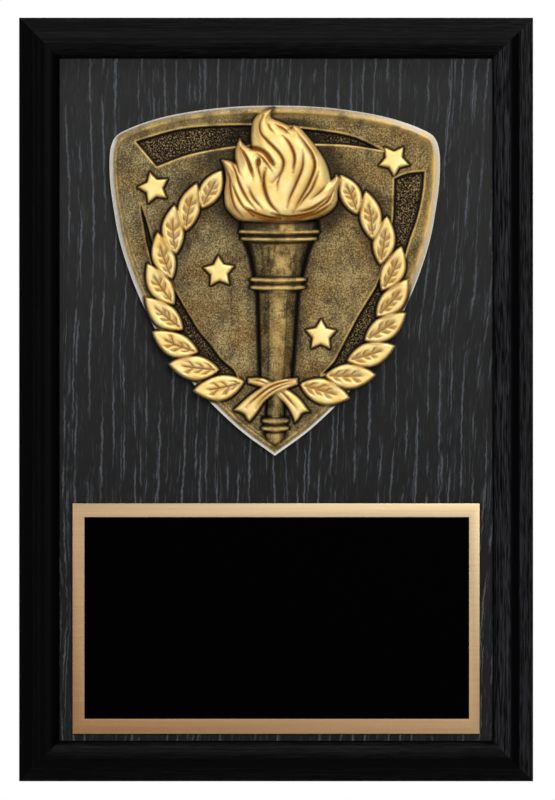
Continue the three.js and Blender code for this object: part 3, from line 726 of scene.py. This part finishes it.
def rail_mesh(name, length, turn):
    """The section carried along the rail, its ends shortened by the distance in, which makes the mitres.

    Its attributes are step, the painted shade across the section, and outer_side, 1 along the upright outer
    side.
    """
    section, dark = rail_profile()
    inwards, height = section.T * MM
    ends = [np.stack([side * (length / 2 - inwards), -inwards, height], 1) for side in (-1, 1)]
    flat = np.vstack(ends)
    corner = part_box("rail_top")[1]
    offset = corner.z if turn % 180 == 0 else corner.x
    a = math.radians(turn)
    x = flat[:, 0] * math.cos(a) - (flat[:, 1] + offset) * math.sin(a)
    z = flat[:, 0] * math.sin(a) + (flat[:, 1] + offset) * math.cos(a)
    count = len(section)
    i = np.arange(count)
    j = np.roll(i, -1)
    sides = np.stack([i, j, j + count, i + count], 1)
    mesh = bpy.data.meshes.new(name)
    faces = sides.tolist() + [i[::-1].tolist(), (i + count).tolist()]
    mesh.from_pydata(np.stack([x, panel_face - flat[:, 2], z], 1).tolist(), [], faces)
    mark(mesh, "step", np.tile(dark, 2))
    mark(mesh, "outer_side", np.tile(section[:, 0] < 0.01, 2))
    return outward(mesh)


def outward(mesh):
    """The same mesh with every face turned out."""
    work = bmesh.new()
    work.from_mesh(mesh)
    bmesh.ops.recalc_face_normals(work, faces=work.faces)
    work.to_mesh(mesh)
    work.free()
    return mesh


def plate_mesh():
    """A thin sheet with eased edges. The flush field inside its border takes the second material."""
    low, high = (np.array(corner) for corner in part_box("engraving_plate"))
    ease = PLATE_EASE_MM * MM
    half = (high - low)[[0, 2]] / 2
    middle = (high + low)[[0, 2]] / 2
    field_low = low[[0, 2]] + np.multiply(PLATE_FIELD_IN_MM, MM)
    field_high = high[[0, 2]] - np.multiply(PLATE_FIELD_BACK_MM, MM)
    turn = np.linspace(0, np.pi / 2, 5)
    levels = [(0.0, high[1])]
    levels += [(ease * (1 - math.cos(a)), low[1] + ease * (1 - math.sin(a))) for a in turn]
    rings = [np.stack([half - inset, np.full(2, y)], 1) for inset, y in levels]
    signs = np.array([(-1, -1), (1, -1), (1, 1), (-1, 1)])
    places = []
    for ring in rings:
        places += [(middle[0] + s[0] * ring[0, 0], ring[0, 1], middle[1] + s[1] * ring[1, 0]) for s in signs]
    for x, z in np.where(signs > 0, field_high, field_low):
        places.append((x, low[1], z))
    faces = [[0, 3, 2, 1]]
    for k in range(len(rings)):
        for i in range(4):
            j = (i + 1) % 4
            faces.append([4 * k + i, 4 * k + j, 4 * k + 4 + j, 4 * k + 4 + i])
    faces.append([4 * len(rings) + i for i in range(4)])
    mesh = bpy.data.meshes.new("engraving_plate_sheet")
    mesh.from_pydata(places, [], faces)
    mesh.polygons.foreach_set("material_index", [0] * (len(faces) - 1) + [1])
    return outward(mesh)


def colour(code):
    """An sRGB hex value as linear red, green, blue and alpha."""
    parts = [int(code[i : i + 2], 16) / 255 for i in (1, 3, 5)]
    return (*[c / 12.92 if c <= 0.04045 else ((c + 0.055) / 1.055) ** 2.4 for c in parts], 1)


# Kinds of node that the materials use most. A Map Range takes the span from input 1 to 2 to that
# from 3 to 4, and a Mix of colours goes from input 6 to 7 by input 0.
NOISE = "ShaderNodeTexNoise"
RANGE = "ShaderNodeMapRange"
MATH = "ShaderNodeMath"
VECTOR = "ShaderNodeVectorMath"
MIX = "ShaderNodeMix"
COLOURS = {"data_type": "RGBA", "output": 2}
FILTER = {**COLOURS, "blend_type": "MULTIPLY"}


def add_node(tree, kind, inputs=None, output=0, **settings):
    """The output of a new shader node. Its inputs go by name or number to a colour's hex value, to
    another value or to a socket.
    """
    made = tree.nodes.new(kind)
    for name, value in settings.items():
        setattr(made, name, value)
    for socket, value in (inputs or {}).items():
        if isinstance(value, bpy.types.NodeSocket):
            tree.links.new(value, made.inputs[socket])
        else:
            made.inputs[socket].default_value = colour(value) if isinstance(value, str) else value
    return made.outputs[output] if made.outputs else None


def new_material(name):
    """An empty material, the function that adds a node to it, and the object's own coordinates."""
    material = bpy.data.materials.new(name)
    material.use_nodes = True
    tree = material.node_tree
    tree.nodes.clear()
    add = partial(add_node, tree)
    return material, add, add("ShaderNodeTexCoord", output="Object")


def surfaced(material, surface, bump=None, **settings):
    """The material with its shader, from the shader's inputs and those of a bump node."""
    add = partial(add_node, material.node_tree)
    if bump:
        surface["Normal"] = add("ShaderNodeBump", bump, **settings)
    add("ShaderNodeOutputMaterial", {"Surface": add("ShaderNodeBsdfPrincipled", surface)})
    return material


def stretched(add, place, size_mm):
    """Coordinates in which a noise at its default scale of 5 has grains of size_mm along x, y and z."""
    scale = [1 / (5 * s * MM) for s in size_mm]
    return add("ShaderNodeMapping", {"Vector": place, "Scale": scale})


def bronzed_resin():
    """Cast polyester resin in antique bronze: paint rubbed off a dark wash, gold on the raised work, painted
    shade and highlights.
    """
    material, add, place = new_material("bronzed_cast_resin")
    mask = {m: add("ShaderNodeAttribute", output="Fac", attribute_name=m) for m in Relief.LAYERS}
    # the paint is patchy over some 4 mm, and its grit is 0.5 mm across and less
    wide = add(NOISE, {0: stretched(add, place, (4, 4, 5)), "Detail": 4})
    warm = add(NOISE, {0: stretched(add, place, (14, 14, 10)), "Detail": 3})
    grit = add(NOISE, {0: stretched(add, place, (0.5, 0.5, 0.5)), "Detail": 2})
    cloud = add(RANGE, {0: wide, 1: 0.34, 2: 0.64})
    glow = add(RANGE, {0: warm, 1: 0.42, 2: 0.7, 4: 0.65})
    fleck = add(RANGE, {0: grit, 1: 0.34, 2: 0.6})
    dense = add(RANGE, {0: wide, 3: 0.1, 4: -0.1})
    spark = add(MATH, {0: grit, 1: dense}, operation="SUBTRACT")
    spark = add(RANGE, {0: spark, 1: 0.48, 2: 0.7})
    # the bronze paint, with a dust of paler grit
    bronze = add(MIX, {0: cloud, 6: "#61543c", 7: "#9f8d64"}, **COLOURS)
    bronze = add(MIX, {0: glow, 6: bronze, 7: "#86642f"}, **COLOURS)
    dust = add(MIX, {0: fleck, 6: "#9c8d72", 7: "#fbfaf6"}, **COLOURS)
    bronze = add(MIX, {0: 1.0, 6: bronze, 7: dust}, **FILTER)
    # and it is greyer towards the left, browner towards the right and lighter towards the foot
    parts = add("ShaderNodeSeparateXYZ", {0: place}).node.outputs
    side = add(RANGE, {0: parts["X"], 1: -0.05, 2: 0.045})
    lift = add(RANGE, {0: parts["Z"], 1: 0.05, 2: 0.008, 3: 0.94, 4: 1.23})
    side = add(MIX, {0: side, 6: "#f1f7ff", 7: "#fff9ea"}, **COLOURS)
    side = add(VECTOR, {0: side, "Scale": lift}, operation="SCALE")
    bronze = add(MIX, {0: 1.0, 6: bronze, 7: side}, **FILTER)
    # over it metal flakes, the black ground of the bands, a pale painted highlight at the edge,
    # dark wash with painted shade, and rubbed gold with painted highlights
    glint = add(RANGE, {0: grit, 1: 0.58, 2: 0.74, 4: 0.28})
    bronze = add(MIX, {0: glint, 6: bronze, 7: "#d9c795"}, **COLOURS)
    ground = add(MIX, {0: spark, 6: "#120b06", 7: "#937a50"}, **COLOURS)
    base = add(MIX, {0: mask["sunk"], 6: bronze, 7: ground}, **COLOURS)
    pale = add(MATH, {0: mask["flank"], 1: 0.9}, operation="MULTIPLY")
    base = add(MIX, {0: pale, 6: base, 7: "#fbf8ee"}, **COLOURS)
    base = add(MIX, {0: mask["wash_and_shade"], 6: base, 7: "#130d07"}, **COLOURS)
    rub_and_highlight = add(RANGE, {0: wide, 1: 0.38, 2: 0.55, 3: 0.4, 4: 1})
    rub_and_highlight = add(MATH, {0: mask["worn_and_highlight"], 1: rub_and_highlight}, operation="MULTIPLY")
    base = add(MIX, {0: rub_and_highlight, 6: base, 7: "#d3af68"}, **COLOURS)
    # and gold paint, whose wash and painted shade are brown
    gold = add(MIX, {0: cloud, 6: "#e8c171", 7: "#f4dc98"}, **COLOURS)
    gold = add(MIX, {0: mask["wash_and_shade"], 6: gold, 7: "#7b4a14"}, **COLOURS)
    finish = add(MIX, {0: mask["gilt"], 6: base, 7: gold}, **COLOURS)
    # the paint evens out the grit, and the pale painted highlight at the edge isn't metal
    dull = add(RANGE, {0: mask["gilt"], 3: 0.5, 4: 0.47})
    metal = add(RANGE, {0: mask["gilt"], 3: 0.45, 4: 0.5})
    past_highlight = add(RANGE, {0: mask["flank"], 3: 1, 4: 0})
    metal = add(MATH, {0: metal, 1: past_highlight}, operation="MULTIPLY")
    even = add(RANGE, {0: mask["gilt"], 3: 1, 4: 0.15})
    relief = add(MATH, {0: grit, 1: even}, operation="MULTIPLY")
    surface = {"Base Color": finish, "Roughness": dull, "Metallic": metal, "Specular IOR Level": 0.12}
    return surfaced(material, surface, {"Strength": 0.4, "Distance": 0.2 * MM, "Height": relief})


def stained_veneer():
    """Ash veneer stained black: its open pores stay blue-grey, in upright lines that waver and break off."""
    material, add, place = new_material("black_stained_ash_veneer")
    slow = add(NOISE, {0: stretched(add, place, (16, 40, 40)), "Detail": 0}, output=1)
    quick = add(NOISE, {0: stretched(add, place, (1.5, 9, 2.4)), "Detail": 1}, output=1)
    slow = add(VECTOR, {0: slow, 1: (0.004, 0, 0)}, operation="MULTIPLY")
    quick = add(VECTOR, {0: quick, 1: (0.0009, 0, 0)}, operation="MULTIPLY")
    bent = add(VECTOR, {0: place, 1: slow}, operation="ADD")
    bent = add(VECTOR, {0: bent, 1: quick}, operation="ADD")
    # the figure is upright at the left edge, and leans in towards the foot more and more to the right
    parts = add("ShaderNodeSeparateXYZ", {0: place}).node.outputs
    bent = add(VECTOR, {0: bent, 1: (0.072, 0, 0)}, operation="ADD")
    lean = add(RANGE, {0: parts["Z"], 1: 0.11, 2: -0.11, 3: 1, 4: 1.125})
    lean = add("ShaderNodeCombineXYZ", {0: lean, 1: 1.0, 2: 1.0})
    bent = add(VECTOR, {0: bent, 1: lean}, operation="MULTIPLY")
    # a pore line is about 0.7 mm wide, and a run of it 5 to 20 mm long
    rows = add(NOISE, {0: stretched(add, bent, (0.7, 40, 150)), "Detail": 0})
    runs = add(NOISE, {0: stretched(add, bent, (1.2, 40, 6.5)), "Detail": 1})
    fine = add(NOISE, {0: stretched(add, bent, (0.3, 2, 5)), "Detail": 1})
    # and the lines crowd together in some strips of the leaf
    crowd = add(NOISE, {0: stretched(add, bent, (9, 40, 50)), "Detail": 1})
    crowd = add(RANGE, {0: crowd, 1: 0.3, 2: 0.7, 3: -0.06, 4: 0.06})
    rows = add(MATH, {0: rows, 1: crowd}, operation="ADD")
    line = add(RANGE, {0: rows, 1: 0.67, 2: 0.79})
    # the pores of the growth rings make the longest lines
    spacing = math.pi / 10 / (RING_SPACING_MM * MM)
    ring = add("ShaderNodeTexWave", {"Vector": bent, "Scale": spacing}, output="Fac")
    ring = add(RANGE, {0: ring, 1: 0.9, 2: 1})
    run = add(RANGE, {0: runs, 1: 0.4, 2: 0.58})
    long = add(NOISE, {0: stretched(add, bent, (2.5, 40, 14)), "Detail": 3})
    long = add(RANGE, {0: long, 1: 0.44, 2: 0.56})
    hair = add(RANGE, {0: fine, 1: 0.6, 2: 0.8, 4: 0.4})
    pores = add(MATH, {0: line, 1: run}, operation="MULTIPLY")
    rings = add(MATH, {0: ring, 1: long}, operation="MULTIPLY")
    pores = add(MATH, {0: pores, 1: rings}, operation="MAXIMUM")
    # the pores are grains in a row, so the lines are rough
    rough = add(NOISE, {0: stretched(add, place, (0.5, 9, 0.9)), "Detail": 1})
    rough = add(RANGE, {0: rough, 1: 0.36, 2: 0.56, 3: 0.6, 4: 1.1})
    pores = add(MATH, {0: pores, 1: rough}, operation="MULTIPLY")
    pores = add(MATH, {0: pores, 1: hair}, operation="MAXIMUM")
    wood = add(MIX, {0: runs, 6: "#1e1e1e", 7: "#262625"}, **COLOURS)
    # the veneer is a little darker towards the foot
    darker_below = add(RANGE, {0: parts["Z"], 1: 0.06, 2: -0.04})
    wood = add(MIX, {0: darker_below, 6: wood, 7: "#b4b4b4"}, **FILTER)
    front = add(MIX, {0: pores, 6: wood, 7: "#474b50"}, **COLOURS)
    # and the core shows behind the veneer
    behind = add(RANGE, {0: parts["Y"], 1: -0.0108, 2: -0.0106})
    board = add(MIX, {0: fine, 6: "#35302b", 7: "#4a4239"}, **COLOURS)
    finish = add(MIX, {0: behind, 6: front, 7: board}, **COLOURS)
    surface = {"Base Color": finish, "Roughness": 0.6, "Specular IOR Level": 0.1}
    bump = {"Strength": 0.4, "Distance": 0.1 * MM, "Height": pores}
    return surfaced(material, surface, bump, invert=True)


def lacquered_rail(name, order, dark, light):
    """Moulded ash under thin black lacquer: grain runs along the rail, and its steps have painted shade.

    The sizes of the grain are for a rail along x, and order -1 turns them round for one along z.
    """
    material, add, place = new_material(name)
    streak = stretched(add, place, (14, 0.8, 0.34)[::order])
    speck = stretched(add, place, (5, 0.4, 0.25)[::order])
    grain = add(NOISE, {0: streak, "Detail": 2, "Distortion": 0.2})
    pores = add(NOISE, {0: speck, "Detail": 1})
    ripple = add(MATH, {0: grain, 1: pores}, operation="ADD")
    cloud = add(RANGE, {0: ripple, 1: 0.87, 2: 1.2})
    # the tones carry painted light, lighter on the right rail and darkest on the left
    wood = add(MIX, {0: cloud, 6: dark, 7: light}, **COLOURS)
    # the outer side is stained alike on all four rails
    alike = add(MIX, {0: cloud, 6: "#0b0b0c", 7: "#232326"}, **COLOURS)
    side = add("ShaderNodeAttribute", output="Fac", attribute_name="outer_side")
    wood = add(MIX, {0: side, 6: wood, 7: alike}, **COLOURS)
    # painted shade on the facet, the sight edge and the outer band
    step = add("ShaderNodeAttribute", output="Fac", attribute_name="step")
    finish = add(MIX, {0: step, 6: wood, 7: "#000000"}, **COLOURS)
    rough = add(RANGE, {0: cloud, 3: 0.48, 4: 0.36})
    surface = {"Base Color": finish, "Roughness": rough, "Specular IOR Level": 0.04}
    return surfaced(material, surface, {"Strength": 0.3, "Distance": 0.1 * MM, "Height": ripple})


def brushed_brass():
    """Thin brass sheet brushed lengthwise, with a painted reflection: copper at the foot, pale gold above.
    """
    material, add, place = new_material("brushed_brass_sheet")
    # the brushed lines are finer than a pixel, so they are drawn 0.35 mm apart
    brush = add(NOISE, {0: stretched(add, place, (40, 5, 0.35)), "Detail": 2})
    # painted reflection: paler towards the top and a little towards the right
    painted_reflection = add(VECTOR, {0: place, 1: (0.35, 0, 1)}, operation="DOT_PRODUCT", output=1)
    painted_reflection = add(RANGE, {0: painted_reflection, 1: -0.115, 2: -0.009})
    tint_and_reflection = add(MIX, {0: painted_reflection, 6: "#b48a62", 7: "#cfbb96"}, **COLOURS)
    line = add(MIX, {0: brush, 6: "#e6e0d8", 7: "#ffffff"}, **COLOURS)
    finish = add(MIX, {0: 1.0, 6: tint_and_reflection, 7: line}, **FILTER)
    rough = add(RANGE, {0: brush, 3: 0.42, 4: 0.52})
    surface = {"Base Color": finish, "Roughness": rough, "Metallic": 1}
    return surfaced(material, surface, {"Strength": 0.15, "Distance": 0.05 * MM, "Height": brush})


def black_field():
    """Screen-printed matt black ink on the sheet: deep, even and nearly smooth."""
    material, add, place = new_material("black_screen_print")
    peel = add(NOISE, {0: stretched(add, place, (2, 2, 2)), "Detail": 1})
    finish = add(MIX, {0: peel, 6: "#000000", 7: "#010101"}, **COLOURS)
    surface = {"Base Color": finish, "Roughness": 0.3, "Specular IOR Level": 0.01}
    return surfaced(material, surface, {"Strength": 0.05, "Distance": 0.05 * MM, "Height": peel})


def pale_floor():
    """A matt painted studio floor."""
    material, add, place = new_material("pale_studio_paint")
    cloud = add(NOISE, {"Vector": stretched(add, place, (300, 300, 300))})
    finish = add(MIX, {0: cloud, 6: "#dcdcda", 7: "#e4e4e2"}, **COLOURS)
    return surfaced(material, {"Base Color": finish, "Roughness": 0.9})


def make_pieces():
    """Every piece of the plaque, each in place of its solid, and the panel in its own."""
    finish_piece(casting_mesh(draw_casting()), [bronzed_resin()], "shield_casting", 60)
    low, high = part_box("rail_top")
    width = high.x - low.x
    height = cad_box[1].z - cad_box[0].z
    # side, order of the grain's sizes, turn, length and two tones, with painted light: the right rail
    # lighter and the left darkest
    rails = (
        ("top", 1, 0, width, "#010101", "#0d0d0f"),
        ("left", -1, 90, height, "#000000", "#010101"),
        ("bottom", 1, 180, width, "#010101", "#0b0b0c"),
        ("right", -1, 270, height, "#020203", "#28282b"),
    )
    for side, order, turn, length, dark, light in rails:
        name = f"rail_{side}"
        mesh = rail_mesh(f"{name}_moulding", length, turn)
        material = lacquered_rail(f"black_lacquered_{name}", order, dark, light)
        finish_piece(mesh, [material], name, 24)
    finish_piece(plate_mesh(), [brushed_brass(), black_field()], "engraving_plate")
    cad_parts["panel"].material_slots[0].material = stained_veneer()


def make_stage():
    """A pale floor well below the plaque, as it hangs on a wall that is left out."""
    size = 0.9
    drop = 0.42
    corners = [(-size, -size, -drop), (size, -size, -drop), (size, size, -drop), (-size, size, -drop)]
    mesh = bpy.data.meshes.new("studio_floor")
    mesh.from_pydata(corners, [], [(0, 1, 2, 3)])
    floor = bpy.data.objects.new("studio_floor", mesh)
    mesh.materials.append(pale_floor())
    scene.collection.objects.link(floor)


def make_light(name, place, aim, size, power):
    """A soft rectangular light that looks from its place at a point near the plaque's middle."""
    lamp = bpy.data.lights.new(name, "AREA")
    lamp.shape = "RECTANGLE"
    lamp.size, lamp.size_y = size
    lamp.energy = power
    light = bpy.data.objects.new(name, lamp)
    light.location = place
    light.rotation_euler = (Vector(aim) - Vector(place)).to_track_quat("-Z", "Y").to_euler()
    scene.collection.objects.link(light)


def make_world():
    """White to the eye and dim as a light, dimmer behind, where the wall would be."""
    world = bpy.data.worlds.new("white_studio")
    world.use_nodes = True
    world.node_tree.nodes.clear()
    add = partial(add_node, world.node_tree)
    way = add("ShaderNodeTexCoord", output="Generated")
    depth = add("ShaderNodeSeparateXYZ", {0: way}, output="Y")
    power = add(RANGE, {0: depth, 1: -0.3, 2: 0.2, 3: 0.3, 4: 0.2})
    seen = add("ShaderNodeBackground", {"Color": "#ffffff", "Strength": 1.0})
    lit = add("ShaderNodeBackground", {"Color": "#f4f6f8", "Strength": power})
    to_camera = add("ShaderNodeLightPath", output="Is Camera Ray")
    both = add("ShaderNodeMixShader", {0: to_camera, 1: lit, 2: seen})
    add("ShaderNodeOutputWorld", {"Surface": both})
    scene.world = world


def make_camera():
    """A long lens straight in front, framed by the board's place and width in the photograph."""
    pixel = (cad_box[1].x - cad_box[0].x) / BOARD_WIDTH_PX
    optics = bpy.data.cameras.new("long_lens")
    optics.sensor_fit = "VERTICAL"
    optics.sensor_height = SENSOR_MM
    optics.lens = SENSOR_MM * (CAMERA_DISTANCE + cad_box[0].y) / (IMAGE_HEIGHT * pixel)
    optics.clip_end = 20
    camera = bpy.data.objects.new("long_lens", optics)
    x = (IMAGE_WIDTH / 2 - BOARD_CENTRE_PX[0]) * pixel
    z = (BOARD_CENTRE_PX[1] - IMAGE_HEIGHT / 2) * pixel
    camera.location = (x, -CAMERA_DISTANCE, z)
    camera.rotation_euler = (math.pi / 2, 0, 0)
    scene.collection.objects.link(camera)
    scene.camera = camera


make_pieces()
make_stage()
make_world()
make_light("softbox_upper_right", (0.5, -1.75, 0.73), (0, 0, 0.02), (0.9, 0.9), 22)
make_light("softbox_overhead", (0.05, -0.45, 1.0), (0, 0, 0), (0.9, 0.35), 7)
make_light("softbox_behind", (0.5, 1.5, 0.5), (0, 0, 0), (0.9, 0.9), 14)
make_light("fill_left", (-1.3, -0.9, 0.15), (0, 0, 0), (0.5, 0.9), 4)
make_camera()
scene.view_settings.view_transform = "Standard"
